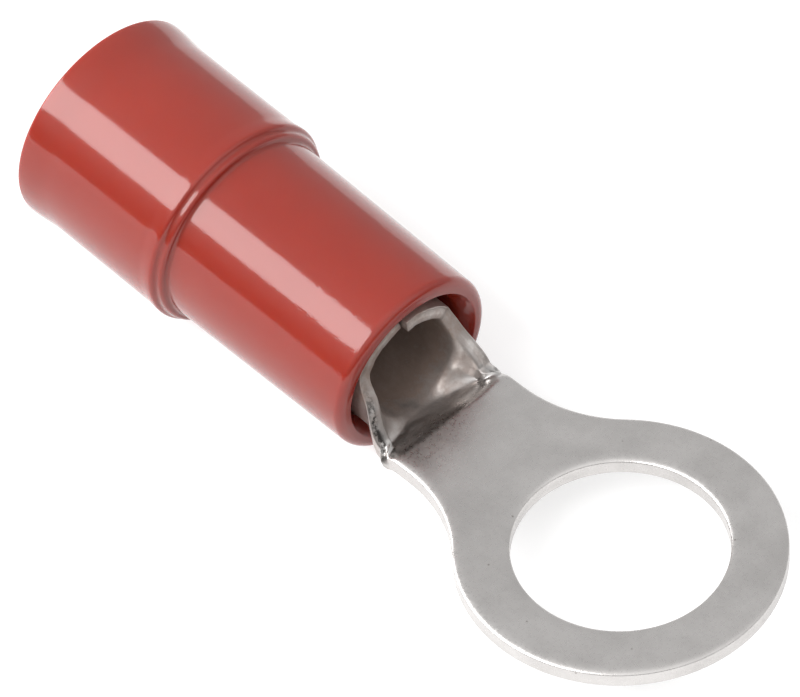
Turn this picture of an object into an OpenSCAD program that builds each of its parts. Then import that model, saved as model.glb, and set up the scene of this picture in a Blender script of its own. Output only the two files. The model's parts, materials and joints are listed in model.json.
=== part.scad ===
// Insulated ring terminal for a red-size wire and an M5 stud.
// A tinned copper terminal, stamped and rolled from one sheet, carries a
// one-piece moulded sleeve on its barrel.
// Millimetres. The origin is the centre of the stud hole on the underside of
// the ring, +Z runs up along the stud and the barrel lies towards -X.

/* [Ring and neck] */
// Outer diameter of the ring
ring_d = 8.1; // [7:0.1:10]
// Diameter of the stud hole
stud_d = 5.3; // [3.2:0.1:5.6]
// Thickness of the sheet
sheet_t = 0.45; // [0.35:0.05:0.6]
// Width of the neck between ring and barrel
neck_w = 3.9; // [3.4:0.1:4.4]
// Radius of the concave fillets where the neck meets the ring
neck_fillet_r = 3.7; // [2.5:0.1:5]

/* [Barrel] */
// Outer diameter of the rolled barrel
barrel_d = 3.6; // [3.4:0.1:4.2]
// Length of the barrel
barrel_l = 6.6; // [4:0.1:6.8]
// Width of the butt seam along the top of the barrel
seam_gap = 0.05; // [0.02:0.01:0.2]
// How far the seam lies round from the top of the barrel, in degrees
seam_angle = 8; // [-20:1:20]
// Angle by which the barrel rises towards the wire, in degrees
set_angle = 3; // [0:0.1:6]
// Height of the barrel's centre line above the ring's underside, at the front of the sleeve
axis_h = 1.28; // [1.2:0.02:1.5]

/* [Dished transition] */
// Distance of the barrel's square mouth from the stud hole
mouth_x = 7.35; // [7:0.05:9]
// Length over which the mouth's raked edges run down to the neck
mouth_rake = 0.95; // [0.6:0.05:1.4]
// Half angle of the wall that stands at the foot of the square mouth, in degrees
mouth_angle = 117; // [80:1:120]
// Distance past the square mouth at which the rolled sheet starts to open out
open_start = 0.6; // [0:0.05:0.8]
// Length over which it opens out flat
open_l = 1; // [0.8:0.05:1.4]

/* [Insulator] */
// Overall length of the sleeve
sleeve_l = 11.1; // [10:0.1:13]
// How far the sleeve's front stands past the mouth of the barrel
mouth_recess = 0.25; // [0.1:0.05:0.5]
// Outer diameter of the slim section at its front
slim_d = 4.96; // [4.9:0.02:5.3]
// Outer diameter of the slim section at the shoulder
slim_root_d = 5.12; // [5:0.02:5.3]
// Length of the slim section
slim_l = 5.93; // [5:0.01:6.6]
// Length of the shoulder between the two sections
shoulder_l = 0.45; // [0.3:0.05:0.8]
// Outer diameter over the low bead at the shoulder
bead_d = 5.74; // [5.72:0.02:6.4]
// Length over which the bead runs down to the wire entry
bead_l = 0.4; // [0.3:0.1:1]
// Outer diameter of the wire entry
entry_d = 5.68; // [5.56:0.02:6.3]
// Outer diameter at the rear edge
rear_d = 5.82; // [5.7:0.02:6.8]
// Length of the flare at the rear
flare_l = 1.1; // [0.6:0.1:2]
// Wall thickness of the wire entry
entry_wall = 0.5; // [0.4:0.05:0.6]
// Radius on the front edge
front_edge_r = 0.25; // [0.1:0.05:0.3]
// Radius on the rear edge
rear_edge_r = 0.1; // [0.05:0.01:0.18]
// Thickness of the inner lip that the rear end of the barrel butts against
lip_l = 0.3; // [0.2:0.05:0.5]
// Widening of the bore at the front edge
lead_in = 0.26; // [0.05:0.01:0.3]
// Length over which the bore narrows behind the front edge
lead_in_l = 0.36; // [0.2:0.02:0.6]

/* [Fits] */
// Radial clearance between barrel and sleeve
sleeve_clearance = 0.02; // [0.01:0.01:0.05]
// Radial step from the barrel's bore out to the lip's bore
lip_step = 0.2; // [0.17:0.01:0.25]

/* [Hidden] */

TINNED = [0.71, 0.70, 0.69];
RED = [0.62, 0.20, 0.16];

ring_r = ring_d / 2;
neck_r = neck_w / 2;
barrel_r = barrel_d / 2;
bore_r = barrel_r - sheet_t;
roll_r = barrel_r - sheet_t / 2;
front_x = mouth_x - mouth_recess;
barrel_end = mouth_recess + barrel_l;
lip_bore_r = bore_r + lip_step;
pocket_r = barrel_r + sleeve_clearance;
entry_bore_r = entry_d / 2 - entry_wall;

// The transition's faceted skin lies this far inside the exact sheet that it joins
skin = 0.012;
// Length by which the transition runs on, thinning, into the barrel and into the neck
lap = 0.5;
lap_thinning = 0.5;
open_end = open_start + open_l;
flat_x = mouth_x - open_end;
STATIONS = 20;
ACROSS = 24;

function smooth(u) = let (c = min(max(u, 0), 1)) c * c * (3 - 2 * c);

function mix(a, b, u) = a + (b - a) * u;

function arc(centre, r, from, to, steps = 12) =
    [for (i = [0:steps]) let (a = mix(from, to, i / steps)) centre + r * [cos(a), sin(a)]];

// Places children on the barrel's centre line: +Z runs to the wire, +X is up
module on_barrel_axis() {
    translate([-front_x, 0, axis_h]) rotate([0, set_angle - 90, 0]) children();
}

// Outline of ring and neck, with fillets tangent to the ring and to the neck
module palm_outline() {
    fillet_y = neck_r + neck_fillet_r;
    fillet_x = sqrt(pow(ring_r + neck_fillet_r, 2) - pow(fillet_y, 2));
    reach = max(flat_x, fillet_x) - skin;
    tangent = ring_r / (ring_r + neck_fillet_r) * [-fillet_x, fillet_y];
    circle(r = ring_r, $fn = 96);
    difference() {
        polygon([tangent, [-fillet_x, tangent.y], [-fillet_x, neck_r], [-reach, neck_r],
                 [-reach, -neck_r], [-fillet_x, -neck_r], [-fillet_x, -tangent.y],
                 [tangent.x, -tangent.y]]);
        for (side = [-1, 1])
            translate([-fillet_x, side * fillet_y]) circle(r = neck_fillet_r, $fn = 96);
    }
}

// Flat ring and neck with the stud hole
module palm() {
    difference() {
        linear_extrude(sheet_t) palm_outline();
        translate([0, 0, -1]) cylinder(d = stud_d, h = sheet_t + 2, $fn = 96);
    }
}

// Barrel with its butt seam
module barrel() {
    on_barrel_axis() difference() {
        translate([0, 0, mouth_recess]) cylinder(r = barrel_r, h = barrel_l, $fn = 96);
        cylinder(r = bore_r, h = barrel_end + 1, $fn = 96);
        rotate([0, 0, -seam_angle])
            translate([0, -seam_gap / 2, 0]) cube([barrel_d, seam_gap, barrel_end + 1]);
    }
}

// Share of the way from rolled to flat at a distance d ahead of the square mouth
function opened(d) = smooth((d - open_start) / open_l);

// Half width of the blank, measured along the sheet
function half_blank(d) =
    mix(roll_r * mouth_angle * PI / 180, neck_r, min(max(d / mouth_rake, 0), 1)) - skin;

// Lowest point of the sheet's middle surface: on the barrel's floor at first, in the neck at last
function floor_point(d) =
    let (e = opened(d),
         along = mouth_recess - d,
         tilt = set_angle * (1 - e),
         rolled = [-front_x - along * cos(set_angle), axis_h + along * sin(set_angle)]
                  - roll_r * [sin(set_angle), cos(set_angle)],
         flat = [d - mouth_x, sheet_t / 2])
    concat(mix(rolled, flat, e), tilt);

// One section of the rolled sheet as a closed loop: a strip of the middle
// surface bent to a circular arc, thickened by half the sheet to each side
function section(d) =
    let (bend = max(1 - opened(d), 0.001) / roll_r,
         base = floor_point(d),
         run_on = max(-d, d - open_end, 0) / lap,
         half_t = (sheet_t / 2 - skin) * (1 - lap_thinning * run_on),
         strip = [for (i = [0:ACROSS]) mix(-1, 1, i / ACROSS) * half_blank(d)])
    concat([for (s = strip) bent(s, bend, base, half_t)],
           [for (i = [ACROSS:-1:0]) bent(strip[i], bend, base, -half_t)]);

// Point at arc length s of a section, at height h off its middle surface
function bent(s, bend, base, h) =
    let (a = s * bend * 180 / PI,
         y = sin(a) * (1 / bend - h),
         up = 1 / bend - cos(a) * (1 / bend - h))
    [base[0] + up * sin(base[2]), y, base[1] + up * cos(base[2])];

// Faces over the open end of a loft whose loop of n points starts at index first
function end_cap(first, n) =
    [for (i = [0:ACROSS - 1]) let (a = first + i, b = first + n - 1 - i)
        each [[a, b, a + 1], [a + 1, b, b - 1]]];

function flipped(faces) = [for (f = faces) [f[0], f[2], f[1]]];

// Dished transition, lofted through sections from the barrel to the neck
module transition() {
    rows = [for (i = [0:STATIONS]) section(mix(-lap, open_end + lap, i / STATIONS))];
    n = len(rows[0]);
    polyhedron(
        points = [for (row = rows) each row],
        faces = concat(
            flipped(end_cap(0, n)),
            end_cap(STATIONS * n, n),
            [for (i = [0:STATIONS - 1], j = [0:n - 1]) let (k = (j + 1) % n)
                each [[i * n + j, i * n + k, (i + 1) * n + j],
                      [i * n + k, (i + 1) * n + k, (i + 1) * n + j]]]));
}

module terminal() {
    color(TINNED) union() {
        palm();
        barrel();
        transition();
    }
}

// Profile of the sleeve from its front, as [radius, distance from the front]
function sleeve_profile() =
    let (slim_r = slim_d / 2,
         root_r = slim_root_d / 2,
         bead_r = bead_d / 2,
         bead_z = slim_l + shoulder_l,
         step = bead_r - root_r,
         turn_r = (pow(step, 2) + pow(shoulder_l, 2)) / (4 * step),
         turn = 2 * atan(step / shoulder_l),
         entry_r = entry_d / 2,
         rear_r = rear_d / 2,
         rear_bore_r = rear_r - entry_wall)
    concat(
        [[pocket_r, lead_in_l], [pocket_r + lead_in, 0]],
        arc([slim_r - front_edge_r, front_edge_r], front_edge_r, -90, 0),
        arc([root_r + turn_r, slim_l], turn_r, 180, 180 - turn),
        arc([bead_r - turn_r, bead_z], turn_r, -turn, 0),
        [[entry_r, bead_z + bead_l], [entry_r, sleeve_l - flare_l]],
        arc([rear_r - rear_edge_r, sleeve_l - rear_edge_r], rear_edge_r, 0, 90),
        arc([rear_bore_r + rear_edge_r, sleeve_l - rear_edge_r], rear_edge_r, 90, 180),
        [[entry_bore_r, sleeve_l - flare_l],
         [entry_bore_r, barrel_end + lip_l + entry_bore_r - lip_bore_r],
         [lip_bore_r, barrel_end + lip_l],
         [lip_bore_r, barrel_end],
         [pocket_r, barrel_end]]);

// Sleeve: slim grip over the barrel, shoulder, and wire entry with a funnel
module insulator() {
    color(RED) on_barrel_axis() rotate_extrude($fn = 96) polygon(sleeve_profile());
}

terminal();
insulator();
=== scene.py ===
import json

import bmesh
import bpy
import numpy as np
from mathutils import Matrix, Vector


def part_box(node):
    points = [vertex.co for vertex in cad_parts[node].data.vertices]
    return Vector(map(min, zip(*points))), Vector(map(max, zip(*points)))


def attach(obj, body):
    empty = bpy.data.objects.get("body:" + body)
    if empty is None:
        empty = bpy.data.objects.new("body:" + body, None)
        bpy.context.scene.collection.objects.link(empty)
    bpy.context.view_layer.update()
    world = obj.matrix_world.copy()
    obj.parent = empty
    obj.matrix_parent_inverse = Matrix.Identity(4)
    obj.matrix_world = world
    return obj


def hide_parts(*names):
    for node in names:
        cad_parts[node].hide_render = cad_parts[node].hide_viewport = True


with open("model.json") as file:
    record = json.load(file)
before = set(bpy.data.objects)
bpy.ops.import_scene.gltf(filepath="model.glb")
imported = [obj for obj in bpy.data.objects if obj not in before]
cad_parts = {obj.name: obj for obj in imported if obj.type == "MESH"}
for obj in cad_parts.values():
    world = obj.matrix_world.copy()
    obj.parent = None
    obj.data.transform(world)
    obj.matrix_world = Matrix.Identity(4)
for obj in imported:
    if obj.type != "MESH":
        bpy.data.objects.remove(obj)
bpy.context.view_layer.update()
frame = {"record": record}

MM = 1e-3
mounts = {m["name"]: m for m in frame["record"]["mounts"]}

# ---------------------------------------------------------------- sizes

SHEET = mounts["stud_hole"]["dims"]["length_mm"]
HOLE_R = mounts["stud_hole"]["dims"]["r_mm"]
RING_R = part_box("terminal")[1][0] / MM
BORE_R = mounts["wire_barrel"]["dims"]["r_mm"]
BARREL_L = mounts["wire_barrel"]["dims"]["length_mm"]
BARREL_R = BORE_R + SHEET
ROLL_R = BARREL_R - SHEET / 2
NECK_R = 1.95
NECK_FILLET_R = 3.7

# The barrel's centre line, which rises by a few degrees towards the wire
REAR = np.array(mounts["wire_barrel"]["axis"])
RISE = float(np.arctan2(REAR[2], -REAR[0]))
MOUTH_X = 7.35
RECESS = 0.25
FRONT_X = MOUTH_X - RECESS
middle = np.array(mounts["wire_barrel"]["pos_m"]) / MM
AXIS_H = float(middle[2] - (RECESS + BARREL_L / 2) * np.sin(RISE))

# The mouth: where the rolled sheet opens out, first into a channel, and its raked edges
OPEN_START, OPEN_L = 0.6, 1.0
CHANNEL_START, CHANNEL_L = 0.4, 0.7
CORNER_S, CORNER_W = 1.38, 0.5
RAKE_L = 1.0
WALL_S = 3.1
SEAM = np.radians(8)
SEAM_HALF_GAP = 0.025
FOOT_S = 2.05
FOOT_L = 0.2
FLAT_L = 0.3
PRESSED = 0.12
JUNCTION_X = -3.4

# Steps of the running sum across the blank, rows along the neck, points round the ring
TURN_STEPS, NECK_ROWS, RING_POINTS = 48, 44, 330

# Sleeve
SLIM_R, SLIM_ROOT_R, SLIM_L = 2.48, 2.56, 5.93
SHOULDER_L, BEAD_R, BEAD_L = 0.45, 2.87, 0.4
LEDGE_SHARE = 0.62
ENTRY_R, REAR_R, SLEEVE_L, FLARE_L = 2.84, 2.91, 11.09, 1.1
ENTRY_BORE_R = mounts["wire_entry"]["dims"]["r_mm"]
WALL = ENTRY_R - ENTRY_BORE_R
POCKET_R, LIP_R, LIP_L = 1.82, 1.55, 0.3
LEAD_IN, LEAD_IN_L = 0.26, 0.36
FRONT_EDGE_R, REAR_EDGE_R = 0.25, 0.1
BARREL_END = RECESS + BARREL_L
# The wall lies this far inside its nominal radii, which leaves room for its unroundness
SLEEVE_INSET = 0.010


def smooth(u):
    """Rises from 0 to 1 as u does, with no slope at either end."""
    c = np.clip(u, 0, 1)
    return c * c * (3 - 2 * c)


def mix(a, b, u):
    return a + (b - a) * u


# ---------------------------------------------------------------- terminal

def turned(d, s):
    """Angle by which the sheet has turned at s. In the barrel it turns evenly all the
    way round, ahead of it more and more in two corners, as a channel's sheet
    does, and in the neck not at all."""
    channel = smooth((d - CHANNEL_START) / CHANNEL_L)
    corner = np.pi / 2 * smooth((np.abs(s) - CORNER_S) / CORNER_W) * np.sign(s)
    return mix(mix(s / ROLL_R, corner, channel), 0, smooth((d - FOOT_D) / FLAT_L))


def rolled(d, s, h):
    """Place of a point of the flat blank once it is rolled.

    d is its distance ahead of the barrel's square mouth, s its distance across
    the blank and h its height off the middle surface. Across the blank the place is
    the running sum of the sheet's direction, and along it the lowest point moves
    from the barrel's floor up into the neck. The +Y wing is pressed in a little."""
    opened = smooth((d - OPEN_START) / OPEN_L)
    behind = RECESS - d
    tilt = RISE * (1 - opened)
    floor_x = -FRONT_X - behind * np.cos(RISE) - ROLL_R * np.sin(RISE)
    floor_z = AXIS_H + behind * np.sin(RISE) - ROLL_R * np.cos(RISE)
    x = mix(floor_x, d - MOUTH_X, opened)
    z = mix(floor_z, SHEET / 2, opened)
    share = (np.arange(TURN_STEPS) + 0.5) / TURN_STEPS
    angle = turned(d[..., None], s[..., None] * share)
    end = turned(d, s)
    y = s * np.cos(angle).mean(-1) - np.sin(end) * h
    up = s * np.sin(angle).mean(-1) + np.cos(end) * h
    pressed = PRESSED * smooth((d + 2.6) / 2.2) * (1 - smooth((d - 0.35) / 0.6))
    y = np.where(y > 0, y * (1 - pressed), y)
    return np.stack([x + up * np.sin(tilt), y, z + up * np.cos(tilt)], -1)


def mouth_edge(s):
    """How far ahead of the square mouth the blank reaches at s, where it is wider than the neck:
    the rake's straight line, rounded into the square mouth, with the small steps and
    waves of a sheared edge. Round the top, the +Y wing stands further forward than the other."""
    a = np.abs(s)
    line = RAKE_L * (WALL_S - a) / (WALL_S - FOOT_S)
    edge = 0.5 * (line + np.sqrt(line ** 2 + 0.12 ** 2))
    forward = np.where(s > 0, 0.24 * smooth((a - 3.0) / 0.9), 0.05)
    waves = 0.008 * np.sin(7.3 * s + 1.0) + 0.005 * np.sin(17.9 * s)
    return edge + forward + waves * smooth((a - FOOT_S) / 0.3)


FOOT_D = float(mouth_edge(np.array([-FOOT_S]))[0])


def half_width(d):
    """Half width of the blank ahead of the foot: a short curve into the neck, the
    neck's straight side, and the concave fillet that runs out to the ring."""
    x = d - MOUTH_X
    foot = NECK_R + (FOOT_S - NECK_R) * np.clip(1 - (d - FOOT_D) / FOOT_L, 0, 1) ** 2
    centre_y = NECK_R + NECK_FILLET_R
    centre_x = -np.sqrt((RING_R + NECK_FILLET_R) ** 2 - centre_y ** 2)
    run = np.clip(x - centre_x, 0, NECK_FILLET_R)
    return foot + NECK_FILLET_R - np.sqrt(NECK_FILLET_R ** 2 - run ** 2)


def ring_outline(n):
    """Outline of the ring from one end of the junction to the other, as angles and radii from the
    stud hole: each neck fillet up to where it touches the ring, then the ring's own circle."""
    centre_y = NECK_R + NECK_FILLET_R
    centre_x = -np.sqrt((RING_R + NECK_FILLET_R) ** 2 - centre_y ** 2)
    start = np.arctan2(float(half_width(JUNCTION_X + MOUTH_X)), JUNCTION_X)
    angle = np.linspace(start, -start, n)
    side = np.array([centre_x, centre_y])
    along = np.cos(angle) * side[0] + np.abs(np.sin(angle)) * side[1]
    root = along ** 2 - (side @ side - NECK_FILLET_R ** 2)
    fillet = along - np.sqrt(np.maximum(root, 0))
    touch = np.arctan2(centre_y, centre_x)
    return angle, np.where(np.abs(angle) > touch, fillet, RING_R)


# Distances from an edge at which the mesh has a line, closest where the edge is rounded
NEAR_EDGE = np.array([0, 0.006, 0.016, 0.03, 0.05, 0.075, 0.105, 0.14, 0.18, 0.225, 0.28, 0.34])


def from_edges(length, step, both=True):
    """Positions from 0 to length: close together near the end at 0, and near the other if both."""
    tail = length - NEAR_EDGE[::-1] if both else np.array([length])
    inner_end = tail[0] if both else length
    n = max(int(round((inner_end - NEAR_EDGE[-1]) / step)), 1)
    body = np.linspace(NEAR_EDGE[-1], inner_end, n + 1)[1:-1]
    return np.concatenate([NEAR_EDGE, body, tail])


def drop(distance, radius_in, radius_down):
    """Fall of a rounded edge at a distance in from it: a quarter of an ellipse."""
    u = np.clip(1 - distance / radius_in, 0, 1)
    return radius_down * (1 - np.sqrt(1 - u ** 2))


def edge_distance(points, loops):
    """Distance of each point of the blank to the nearest stretch of the closed outlines."""
    best = np.full(points.shape[:-1], np.inf)
    for loop in loops:
        for a, b in zip(loop, np.roll(loop, -1, 0)):
            ab = b - a
            t = np.clip(((points - a) @ ab) / max(ab @ ab, 1e-12), 0, 1)
            best = np.minimum(best, np.hypot(*np.moveaxis(points - a - t[..., None] * ab, -1, 0)))
    return best


def blank_grids():
    """The flat blank as three grids of (d, s) that share their edges: barrel with
    its wings, transition with neck, and ring. Returns them with the outline and the hole's edge."""
    inner = from_edges(2.0, 0.11) - 1
    wing = from_edges(1.0, 0.035, both=True)
    left_end = ROLL_R * (np.pi - SEAM) - SEAM_HALF_GAP
    right_end = ROLL_R * (np.pi + SEAM) - SEAM_HALF_GAP
    across = np.concatenate([mix(-left_end, -FOOT_S, wing)[:-1], inner * FOOT_S,
                             mix(FOOT_S, right_end, wing)[1:]])
    back = from_edges(BARREL_L + FOOT_D, 0.1, both=False)
    back = np.concatenate([back[back < 3], np.arange(3.2, BARREL_L + FOOT_D - 0.3, 0.3),
                           BARREL_L + FOOT_D - np.array([0.15, 0.05, 0.02, 0])])
    front = np.where(np.abs(across) <= FOOT_S + 1e-9, FOOT_D, mouth_edge(across))
    share = back / (BARREL_L + FOOT_D)
    d = mix(front[None, :], -BARREL_L, share[:, None])
    barrel = np.stack([d, np.broadcast_to(across, d.shape)], -1)

    rows = np.linspace(FOOT_D, JUNCTION_X + MOUTH_X, NECK_ROWS)
    neck = np.stack([np.broadcast_to(rows[:, None], (len(rows), len(inner))),
                     inner[None, :] * half_width(rows)[:, None]], -1)

    angle, radius = ring_outline(RING_POINTS)
    arc = radius[:, None] * np.stack([np.cos(angle), np.sin(angle)], -1)
    join = neck[-1] - [MOUTH_X, 0]
    outer = np.concatenate([arc, join[1:-1]])
    reach = np.hypot(*outer.T)
    steps = from_edges(1.0, 0.06)
    width = reach - HOLE_R
    near = np.minimum(NEAR_EDGE[-1], 0.45 * width)
    inward = np.where(steps[:, None] < 0.5, steps[:, None], 1 - steps[:, None])
    scaled = np.where(inward <= NEAR_EDGE[-1], inward * near / NEAR_EDGE[-1],
                      near + (inward - NEAR_EDGE[-1]) * (width / 2 - near) / (0.5 - NEAR_EDGE[-1]))
    r = np.where(steps[:, None] < 0.5, HOLE_R + scaled, reach - scaled)
    ring = r[..., None] * (outer / reach[:, None])[None] + [MOUTH_X, 0]

    is_wing_left, is_wing_right = across <= -FOOT_S + 1e-9, across >= FOOT_S - 1e-9
    outline = np.concatenate([
        arc + [MOUTH_X, 0], neck[::-1, 0][1:], barrel[0][is_wing_left][::-1][1:],
        barrel[1:, 0], barrel[-1, 1:], barrel[::-1, -1][1:],
        barrel[0][is_wing_right][::-1][1:], neck[1:-1, -1]])
    return barrel, neck, ring, outline, ring[0]


def grid_faces(rows, cols, offset, closed=False):
    """Quads between neighbouring rows and columns of a grid whose points start at offset."""
    i, j = np.meshgrid(np.arange(rows - 1), np.arange(cols if closed else cols - 1), indexing="ij")
    k = (j + 1) % cols
    quads = np.stack([i * cols + j, i * cols + k, (i + 1) * cols + k, (i + 1) * cols + j], -1)
    return quads.reshape(-1, 4) + offset


TOP_IN, TOP_DOWN = 0.34, 0.10
BOTTOM_R = 0.02


def side_wall(loop, outward_sign):
    """The sheared wall along an outline, from the rounded upper edge to the lower one.

    Below the rounded edge comes the smooth band that the punch cut, then the
    band that broke, which lies a little further in. Round the mouth, where the
    edge was sheared again and rolled, it is torn: ribs and chips cross it.
    Returns (d, s, h) points and how torn each one is."""
    along = np.roll(loop, -1, 0) - np.roll(loop, 1, 0)
    along /= np.maximum(np.hypot(*along.T), 1e-9)[:, None]
    out = np.stack([along[:, 1], -along[:, 0]], -1) * outward_sign
    length = np.concatenate([[0], np.cumsum(np.hypot(*np.diff(loop, axis=0).T))])
    ribs = 0.5 * np.sin(31 * length) + 0.3 * np.sin(57 * length + 2) + 0.2 * np.sin(13 * length + 4)
    torn = smooth((loop[:, 0] + 0.6) / 0.3) * smooth((FOOT_D + 0.35 - loop[:, 0]) / 0.25)
    h = np.array([SHEET / 2 - TOP_DOWN, 0.07, 0.02, -0.01, -0.03, -0.06, -0.10, -0.14, -0.18,
                  -SHEET / 2 + BOTTOM_R])
    inset = np.array([0, 0, 0.0, 0.002, 0.010, 0.014, 0.017, 0.018, 0.016, 0.0])
    band = np.array([0, 0.1, 0.4, 0.8, 1, 1, 1, 1, 0.9, 0.4])
    depth = inset[:, None] * (0.3 + torn * (1.0 + 0.9 * ribs))[None, :]
    flat = loop[None] - depth[..., None] * out[None]
    points = np.concatenate([flat, np.broadcast_to(h[:, None, None], flat.shape[:2] + (1,))], -1)
    return points, band[:, None] * torn[None, :]


def mesh_piece(name, points, faces, attributes=(), merge=2e-4):
    """A piece from points in millimetres and faces; doubles within merge are joined."""
    mesh = bpy.data.meshes.new(name)
    mesh.from_pydata((points * MM).tolist(), [], faces)
    for key, values in attributes:
        mesh.attributes.new(key, "FLOAT", "POINT").data.foreach_set("value", values.astype(np.float32))
    work = bmesh.new()
    work.from_mesh(mesh)
    bmesh.ops.remove_doubles(work, verts=work.verts, dist=merge * MM)
    bmesh.ops.dissolve_degenerate(work, edges=work.edges, dist=1e-9)
    bmesh.ops.recalc_face_normals(work, faces=work.faces)
    work.to_mesh(mesh)
    work.free()
    mesh.shade_smooth()
    piece = bpy.data.objects.new(name, mesh)
    bpy.context.scene.collection.objects.link(piece)
    return piece


def stamped_terminal():
    """The whole terminal from its flat blank: upper and lower skins, the sheared
    walls round the outline and round the hole, all carried through rolled()."""
    barrel, neck, ring, outline, hole = blank_grids()
    points, faces, torn, count = [], [], [], 0

    def take(grid, closed=False, amount=None):
        nonlocal count
        rows, cols = grid.shape[:2]
        points.append(rolled(grid[..., 0], grid[..., 1], grid[..., 2]).reshape(-1, 3))
        torn.append(np.zeros(rows * cols) if amount is None else np.ravel(amount))
        faces.append(grid_faces(rows, cols, count, closed))
        count += rows * cols

    for grid, closed in ((barrel, False), (neck, False), (ring, True)):
        gap = edge_distance(grid, [outline, hole])
        for sign, run, fall in ((1, TOP_IN, TOP_DOWN), (-1, BOTTOM_R, BOTTOM_R)):
            h = sign * (SHEET / 2 - drop(gap, run, fall))
            take(np.concatenate([grid, h[..., None]], -1), closed)
    for loop, sign in ((outline, -1), (hole, 1)):
        wall, amount = side_wall(loop, sign)
        take(wall, True, amount)
    return mesh_piece("stamped_terminal", np.concatenate(points), np.concatenate(faces).tolist(),
                      [("torn", np.concatenate(torn))])


# ---------------------------------------------------------------- sleeve

def arc(centre, radius, start, end, n=10):
    """Points of a circular arc, angles in degrees."""
    a = np.radians(np.linspace(start, end, n))
    return np.stack([centre[0] + radius * np.cos(a), centre[1] + radius * np.sin(a)], -1)


def step_up(r0, r1, z0, length, n=9):
    """Profile of a rounded step from radius r0 to r1: two equal arcs that meet halfway."""
    rise = r1 - r0
    radius = (rise ** 2 + length ** 2) / (4 * rise)
    turn = np.degrees(2 * np.arctan2(rise, length))
    return np.concatenate([arc((r0 + radius, z0), radius, 180, 180 - turn, n),
                           arc((r1 - radius, z0 + length), radius, -turn, 0, n)[1:]])


def sleeve_profile():
    """Closed outline of the sleeve's wall as (radius, distance from its front).

    From the bore's front edge over the rounded front, the slim section, a
    shoulder of two low steps with a low bead, the wire entry with its flare, and back along
    the inside: entry, funnel, lip and the pocket that holds the barrel."""
    ledge = mix(SLIM_ROOT_R, BEAD_R, LEDGE_SHARE)
    half = SHOULDER_L / 2
    bead_end = SLIM_L + SHOULDER_L + BEAD_L
    flare = np.linspace(0, 1, 9)
    rise = np.linspace(0, 0.9, 5)
    rear_bore = REAR_R - WALL
    funnel = BARREL_END + LIP_L + ENTRY_BORE_R - LIP_R
    return np.concatenate([
        np.stack([mix(POCKET_R, POCKET_R + LEAD_IN - 0.02, rise), LEAD_IN_L * (1 - rise) + 0.04], -1),
        arc((POCKET_R + LEAD_IN + 0.05, 0.05), 0.05, 200, 270, 6),
        arc((SLIM_R - FRONT_EDGE_R, FRONT_EDGE_R), FRONT_EDGE_R, -90, 0, 14),
        np.stack([mix(SLIM_R, SLIM_ROOT_R, flare[1:-1]), mix(FRONT_EDGE_R, SLIM_L, flare[1:-1])], -1),
        step_up(SLIM_ROOT_R, ledge, SLIM_L, half),
        step_up(ledge, BEAD_R, SLIM_L + half, half)[1:],
        np.stack([mix(BEAD_R, ENTRY_R, smooth(flare[1:])), SLIM_L + SHOULDER_L + BEAD_L * flare[1:]], -1),
        np.stack([np.full(4, ENTRY_R), np.linspace(bead_end + 0.3, SLEEVE_L - FLARE_L, 4)], -1),
        np.stack([mix(ENTRY_R, REAR_R, smooth(flare[1:])),
                  mix(SLEEVE_L - FLARE_L, SLEEVE_L - REAR_EDGE_R, flare[1:])], -1)[:-1],
        arc((REAR_R - REAR_EDGE_R, SLEEVE_L - REAR_EDGE_R), REAR_EDGE_R, 0, 90, 8),
        arc((rear_bore + REAR_EDGE_R, SLEEVE_L - REAR_EDGE_R), REAR_EDGE_R, 90, 180, 8),
        [[ENTRY_BORE_R, SLEEVE_L - FLARE_L], [ENTRY_BORE_R, funnel + 0.2], [ENTRY_BORE_R - 0.02, funnel],
         [LIP_R + 0.03, BARREL_END + LIP_L + 0.03], [LIP_R, BARREL_END + LIP_L - 0.03],
         [LIP_R, BARREL_END + 0.03], [LIP_R + 0.03, BARREL_END], [POCKET_R, BARREL_END]]])


def moulded_sleeve(turns=288):
    """The profile carried round the barrel's centre line, with the slight
    unroundness of a moulding that was pressed onto a barrel with a seam."""
    profile = sleeve_profile()
    angle = np.linspace(0, 2 * np.pi, turns, endpoint=False)
    r, z = profile[:, 0][:, None], profile[:, 1][:, None]
    out_of_round = 0.006 * np.cos(2 * angle + 0.6) + 0.004 * np.cos(3 * angle + 0.3 * z)
    r = r - SLEEVE_INSET + out_of_round * np.where(r > 2.2, 1, 0)
    up = np.array([np.sin(RISE), 0, np.cos(RISE)])
    side = np.array([0, 1.0, 0])
    front = np.array([-FRONT_X, 0, AXIS_H])
    points = (front + z[..., None] * REAR
              + r[..., None] * (np.cos(angle)[None, :, None] * up + np.sin(angle)[None, :, None] * side))
    rows = len(profile)
    faces = grid_faces(rows, turns, 0, True)
    last = grid_faces(2, turns, 0, True)
    last = np.where(last >= turns, last - turns, last + (rows - 1) * turns)
    return mesh_piece("moulded_sleeve", points.reshape(-1, 3), np.concatenate([faces, last]).tolist())


# ---------------------------------------------------------------- materials

def linear(code):
    """sRGB hex to linear RGBA."""
    c = np.array([int(code[i:i + 2], 16) / 255 for i in (1, 3, 5)])
    c = np.where(c <= 0.04045, c / 12.92, ((c + 0.055) / 1.055) ** 2.4)
    return (*c.tolist(), 1.0)


def node(tree, kind, inputs=None, **settings):
    """Adds a node, sets its properties, and fills or links its inputs by name or number."""
    n = tree.nodes.new("ShaderNode" + kind)
    for key, value in settings.items():
        setattr(n, key, value)
    for key, value in (inputs or {}).items():
        if isinstance(value, bpy.types.NodeSocket):
            tree.links.new(value, n.inputs[key])
        else:
            n.inputs[key].default_value = value
    return n


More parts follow.
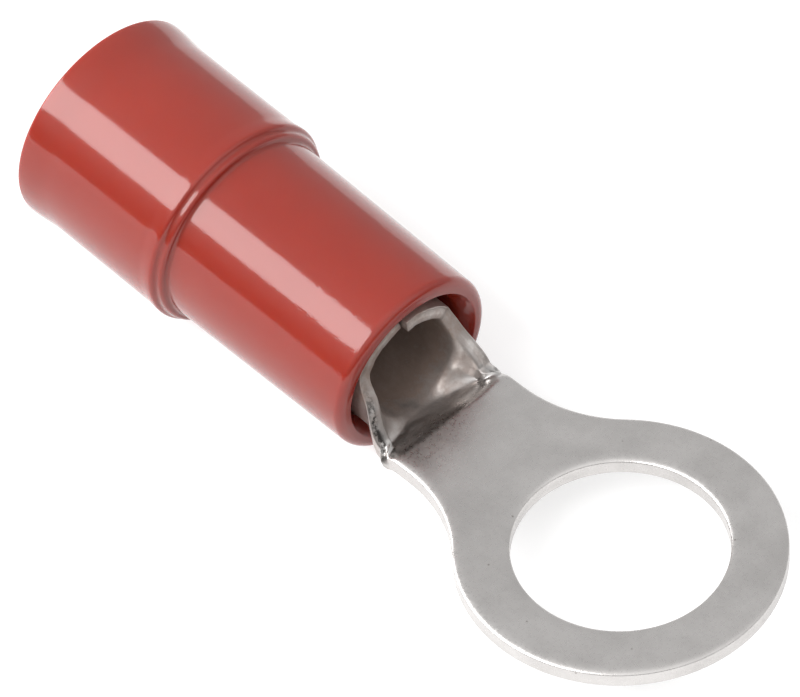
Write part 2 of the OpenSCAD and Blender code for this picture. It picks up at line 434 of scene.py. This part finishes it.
def material(name):
    """An empty node material, its tree, its shader and its Object coordinates."""
    m = bpy.data.materials.new(name)
    m.use_nodes = True
    tree = m.node_tree
    tree.nodes.clear()
    shader = node(tree, "BsdfPrincipled")
    node(tree, "OutputMaterial", {"Surface": shader.outputs[0]})
    place = node(tree, "TexCoord").outputs["Object"]
    return m, tree, shader, place


def per_mm(count):
    """Scale of a pattern that repeats count times a millimetre, on coordinates in metres."""
    return count / MM


def tinned_copper():
    """Copper sheet, electro-tinned: a satin grey metal, clouded where the tin is uneven, with fine rubbed
    lines
    and small pits. In the barrel, where the tin is thin, and in blots over the dish before it the colour is
    a duller brown:
    painted shade and a painted reflection of the red sleeve, with some tarnish. It is dark where the edge
    was torn."""
    m, tree, shader, place = material("tinned_copper_sheet")
    parts = node(tree, "SeparateXYZ", {0: place})
    cloud = node(tree, "TexNoise", {"Vector": place, "Scale": per_mm(0.9), "Detail": 5.0, "Roughness": 0.6})
    fine = node(tree, "TexNoise", {"Vector": place, "Scale": per_mm(9), "Detail": 4.0, "Roughness": 0.65})
    colour = node(tree, "ValToRGB", {"Fac": cloud.outputs[0]})
    colour.color_ramp.elements[0].position, colour.color_ramp.elements[1].position = 0.35, 0.65
    colour.color_ramp.elements[0].color = linear("#C3C0BE")
    colour.color_ramp.elements[1].color = linear("#CFCCCA")
    pits = node(tree, "TexVoronoi", {"Vector": place, "Scale": per_mm(1.6), "Randomness": 1.0})
    pit = node(tree, "MapRange", {0: pits.outputs["Distance"], 1: 0.02, 2: 0.06, 3: 0.8, 4: 0.0})
    pitted = node(tree, "Mix", {0: pit.outputs[0], 6: colour.outputs[0], 7: linear("#8B8580")},
                  data_type="RGBA")

    # Painted shade and a painted reflection of the red sleeve, with some tarnish: a duller brown, thick in
    # the barrel and in blots over the dish in front of it
    blots = node(tree, "TexNoise", {"Vector": place, "Scale": per_mm(2.2), "Detail": 5.0, "Roughness": 0.7})
    reach = node(tree, "MapRange", {0: parts.outputs[0], 1: -7.6 * MM, 2: -5.7 * MM, 3: 1.1, 4: -0.35})
    spread = node(tree, "MapRange", {0: blots.outputs[0], 1: 0.3, 2: 0.7, 3: -0.35, 4: 0.35})
    amount = node(tree, "Math", {0: reach.outputs[0], 1: spread.outputs[0]}, operation="ADD", use_clamp=True)
    tone = node(tree, "Mix", {0: blots.outputs[0], 6: linear("#7A6659"), 7: linear("#A3928A")},
                data_type="RGBA")
    # painted shade: the metal's colour turns browner and darker towards the barrel's hollow
    painted_shade_and_tarnish = node(tree, "Mix", {0: amount.outputs[0], 6: pitted.outputs[2], 7: tone.outputs[2]},
                     data_type="RGBA")

    # Torn edges: dark pores between bright ridges
    torn = node(tree, "Attribute", attribute_name="torn")
    pores = node(tree, "TexNoise", {"Vector": place, "Scale": per_mm(5), "Detail": 4.0, "Roughness": 0.7})
    pore = node(tree, "MapRange", {0: pores.outputs[0], 1: 0.44, 2: 0.56, 3: 0.0, 4: 1.0})
    near_side = node(tree, "MapRange", {0: parts.outputs[1], 1: -0.8 * MM, 2: -1.5 * MM, 3: 0.15, 4: 0.95})
    low_down = node(tree, "MapRange", {0: parts.outputs[0], 1: -7.1 * MM, 2: -6.7 * MM, 3: 0.2, 4: 1.0})
    dark = node(tree, "Math", {0: torn.outputs["Fac"], 1: pore.outputs[0]}, operation="MULTIPLY")
    dark = node(tree, "Math", {0: dark.outputs[0], 1: near_side.outputs[0]}, operation="MULTIPLY")
    dark = node(tree, "Math", {0: dark.outputs[0], 1: low_down.outputs[0]}, operation="MULTIPLY")
    final = node(tree, "Mix", {0: dark.outputs[0], 6: painted_shade_and_tarnish.outputs[2], 7: linear("#3E3A38")},
                 data_type="RGBA")
    tree.links.new(final.outputs[2], shader.inputs["Base Color"])
    metal = node(tree, "MapRange", {0: amount.outputs[0], 1: 0.2, 2: 1.0, 3: 1.0, 4: 0.45})
    tree.links.new(metal.outputs[0], shader.inputs["Metallic"])
    rough = node(tree, "MapRange", {0: fine.outputs[0], 1: 0.3, 2: 0.7, 3: 0.24, 4: 0.36})
    dull = node(tree, "Math", {0: amount.outputs[0], 1: 0.22, 2: rough.outputs[0]}, operation="MULTIPLY_ADD")
    tree.links.new(dull.outputs[0], shader.inputs["Roughness"])

    lines_at = node(tree, "Mapping", {"Vector": place, "Scale": (0.12, 1.0, 1.0), "Rotation": (0, 0, 0.5)})
    lines = node(tree, "TexNoise", {"Vector": lines_at.outputs[0], "Scale": per_mm(16), "Detail": 2.0})
    relief = node(tree, "Math", {0: lines.outputs[0], 1: fine.outputs[0]}, operation="ADD")
    bump = node(tree, "Bump", {"Height": relief.outputs[0], "Strength": 0.10, "Distance": 0.02 * MM})
    waves = node(tree, "TexNoise", {"Vector": place, "Scale": per_mm(1.6), "Detail": 2.0})
    grain = node(tree, "Math", {0: blots.outputs[0], 1: amount.outputs[0]}, operation="MULTIPLY")
    wavy = node(tree, "Math", {0: grain.outputs[0], 1: 2.0, 2: waves.outputs[0]}, operation="MULTIPLY_ADD")
    bump2 = node(tree, "Bump", {"Height": wavy.outputs[0], "Strength": 0.25, "Distance": 0.02 * MM,
                                "Normal": bump.outputs[0]})
    tree.links.new(bump2.outputs[0], shader.inputs["Normal"])
    return m


def red_vinyl():
    """Soft PVC, injection moulded: glossy and translucent, so light travels in it and it
    glows where it is hollow and darkens over the barrel, with a slight orange peel."""
    m, tree, shader, place = material("moulded_red_vinyl")
    cloud = node(tree, "TexNoise", {"Vector": place, "Scale": per_mm(0.35), "Detail": 3.0})
    colour = node(tree, "Mix", {0: cloud.outputs[0], 6: linear("#872A20"), 7: linear("#923226")},
                  data_type="RGBA")
    tree.links.new(colour.outputs[2], shader.inputs["Base Color"])
    shader.inputs["IOR"].default_value = 1.5
    shader.inputs["Subsurface Weight"].default_value = 0.8
    shader.inputs["Subsurface Radius"].default_value = (1.0, 0.25, 0.12)
    shader.inputs["Subsurface Scale"].default_value = 0.4 * MM
    fine = node(tree, "TexNoise", {"Vector": place, "Scale": per_mm(5), "Detail": 3.0, "Roughness": 0.6})
    rough = node(tree, "MapRange", {0: fine.outputs[0], 1: 0.3, 2: 0.7, 3: 0.06, 4: 0.14})
    tree.links.new(rough.outputs[0], shader.inputs["Roughness"])
    parts = node(tree, "SeparateXYZ", {0: place})
    matt = node(tree, "MapRange", {0: parts.outputs[0], 1: -11.5 * MM, 2: -8.5 * MM, 3: 0.15, 4: 1.0},
                interpolation_type="SMOOTHSTEP")
    peel = node(tree, "TexNoise", {"Vector": place, "Scale": per_mm(7), "Detail": 2.0, "Roughness": 0.5})
    height = node(tree, "Math", {0: peel.outputs[0], 1: matt.outputs[0]}, operation="MULTIPLY")
    bump = node(tree, "Bump", {"Height": height.outputs[0], "Strength": 0.12, "Distance": 0.03 * MM})
    tree.links.new(bump.outputs[0], shader.inputs["Normal"])
    return m


# ---------------------------------------------------------------- pieces

terminal = stamped_terminal()
terminal.data.materials.append(tinned_copper())
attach(terminal, "root")
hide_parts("terminal")

sleeve = moulded_sleeve()
sleeve.data.materials.append(red_vinyl())
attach(sleeve, "root")
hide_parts("insulator")

# ---------------------------------------------------------------- studio

TABLE_R, TABLE_POINTS = 400, 96
TABLE_GREY, TABLE_GLOW = 0.55, 0.55
FLOOR_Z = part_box("insulator")[0][2] / MM


def white_floor():
    """A round white table with the object's own shadow."""
    angle = np.linspace(0, 2 * np.pi, TABLE_POINTS, endpoint=False)
    rim = np.stack([TABLE_R * np.cos(angle), TABLE_R * np.sin(angle), np.full(TABLE_POINTS, FLOOR_Z)], -1)
    mesh = bpy.data.meshes.new("white_table")
    mesh.from_pydata((rim * MM).tolist(), [], [list(range(TABLE_POINTS))])
    floor = bpy.data.objects.new("white_table", mesh)
    bpy.context.scene.collection.objects.link(floor)
    m = bpy.data.materials.new("white_table")
    m.use_nodes = True
    tree = m.node_tree
    tree.nodes.clear()
    path = node(tree, "LightPath")
    seen = node(tree, "Math", {0: path.outputs["Is Camera Ray"], 1: path.outputs["Is Glossy Ray"]},
                operation="MAXIMUM")
    seen = node(tree, "Math", {0: seen.outputs[0], 1: path.outputs["Is Transmission Ray"]},
                operation="MAXIMUM")
    glow = node(tree, "Math", {0: seen.outputs[0], 1: TABLE_GLOW}, operation="MULTIPLY")
    paint = node(tree, "BsdfDiffuse", {"Color": (TABLE_GREY, TABLE_GREY, TABLE_GREY, 1)})
    light = node(tree, "Emission", {"Color": (1, 1, 1, 1), "Strength": glow.outputs[0]})
    both = node(tree, "AddShader", {0: paint.outputs[0], 1: light.outputs[0]})
    node(tree, "OutputMaterial", {"Surface": both.outputs[0]})
    mesh.materials.append(m)


def studio_world():
    """White to the eye; as light it is soft from above, and dark low down on the camera's side."""
    world = bpy.data.worlds.new("studio")
    bpy.context.scene.world = world
    world.use_nodes = True
    tree = world.node_tree
    tree.nodes.clear()
    path = node(tree, "LightPath")
    way = node(tree, "TexCoord").outputs["Generated"]
    parts = node(tree, "SeparateXYZ", {0: way})
    side = node(tree, "VectorMath", {0: way, 1: (0.748, -0.664, 0.0)}, operation="DOT_PRODUCT")
    near = node(tree, "MapRange", {0: side.outputs["Value"], 1: -0.4, 2: 0.3, 3: 0.0, 4: 1.0},
                interpolation_type="SMOOTHSTEP")
    high = node(tree, "MapRange", {0: parts.outputs[2], 1: 0.1, 2: 0.6, 3: 0.0, 4: 1.0},
                interpolation_type="SMOOTHSTEP")
    bright = node(tree, "Math", {0: near.outputs[0], 1: high.outputs[0]}, operation="MULTIPLY")
    low = node(tree, "Math", {0: 1.0, 1: high.outputs[0]}, operation="SUBTRACT")
    dark = node(tree, "Math", {0: near.outputs[0], 1: low.outputs[0]}, operation="MULTIPLY")
    level = node(tree, "Math", {0: bright.outputs[0], 1: 0.5, 2: 0.7}, operation="MULTIPLY_ADD")
    level = node(tree, "Math", {0: dark.outputs[0], 1: -0.55, 2: level.outputs[0]}, operation="MULTIPLY_ADD")
    shown = node(tree, "Mix", {0: path.outputs["Is Camera Ray"], 2: level.outputs[0], 3: 1.0},
                 data_type="FLOAT")
    back = node(tree, "Background", {"Color": (1, 1, 1, 1), "Strength": shown.outputs[0]})
    node(tree, "OutputWorld", {"Surface": back.outputs[0]})


def soft_box(name, at, aim, size, radiance):
    """A rectangular lamp at a point in mm that faces another; size is (along X, across) in mm."""
    data = bpy.data.lights.new(name, "AREA")
    data.shape = "RECTANGLE"
    data.size, data.size_y = size[0] * MM, size[1] * MM
    data.energy = np.pi * data.size * data.size_y * radiance
    lamp = bpy.data.objects.new(name, data)
    away = (Vector(at) - Vector(aim)).normalized()
    right = Vector((1, 0, 0)) - away * away.x
    right.normalize()
    up = away.cross(right)
    lamp.matrix_world = Matrix((right, up, away)).transposed().to_4x4()
    lamp.location = Vector(at) * MM
    lamp.visible_camera = False
    bpy.context.scene.collection.objects.link(lamp)


CENTRE = Vector((-8, 0, 1.5))
BOX_WAY = Vector((-0.47, -0.60, 0.65)).normalized()
BOX_DISTANCE, BOX_SIZE, BOX_RADIANCE = 300, (520, 150), 6.5

LENS, SENSOR = 405, 36
CAMERA_AT, CAMERA_TARGET = Vector((101.332, -96.572, 164.106)), Vector((-7.923, 0.328, 1.0))
CAMERA_ROLL = np.radians(3.0706)


def camera():
    """Long lens from above the ring's side, turned by its roll about the line of sight."""
    data = bpy.data.cameras.new("camera")
    data.lens, data.sensor_width = LENS, SENSOR
    data.clip_start, data.clip_end = 0.01, 20
    cam = bpy.data.objects.new("camera", data)
    away = (CAMERA_AT - CAMERA_TARGET).normalized()
    right = Vector((0, 0, 1)).cross(away).normalized()
    up = away.cross(right)
    cos, sin = np.cos(CAMERA_ROLL), np.sin(CAMERA_ROLL)
    up, right = up * cos + right * sin, right * cos - up * sin
    cam.matrix_world = Matrix((right, up, away)).transposed().to_4x4()
    cam.location = CAMERA_AT * MM
    bpy.context.scene.collection.objects.link(cam)
    bpy.context.scene.camera = cam


white_floor()
studio_world()
soft_box("side_box", CENTRE + BOX_WAY * BOX_DISTANCE, CENTRE, BOX_SIZE, BOX_RADIANCE)
camera()
bpy.context.scene.view_settings.view_transform = "Standard"

bpy.context.view_layer.update()
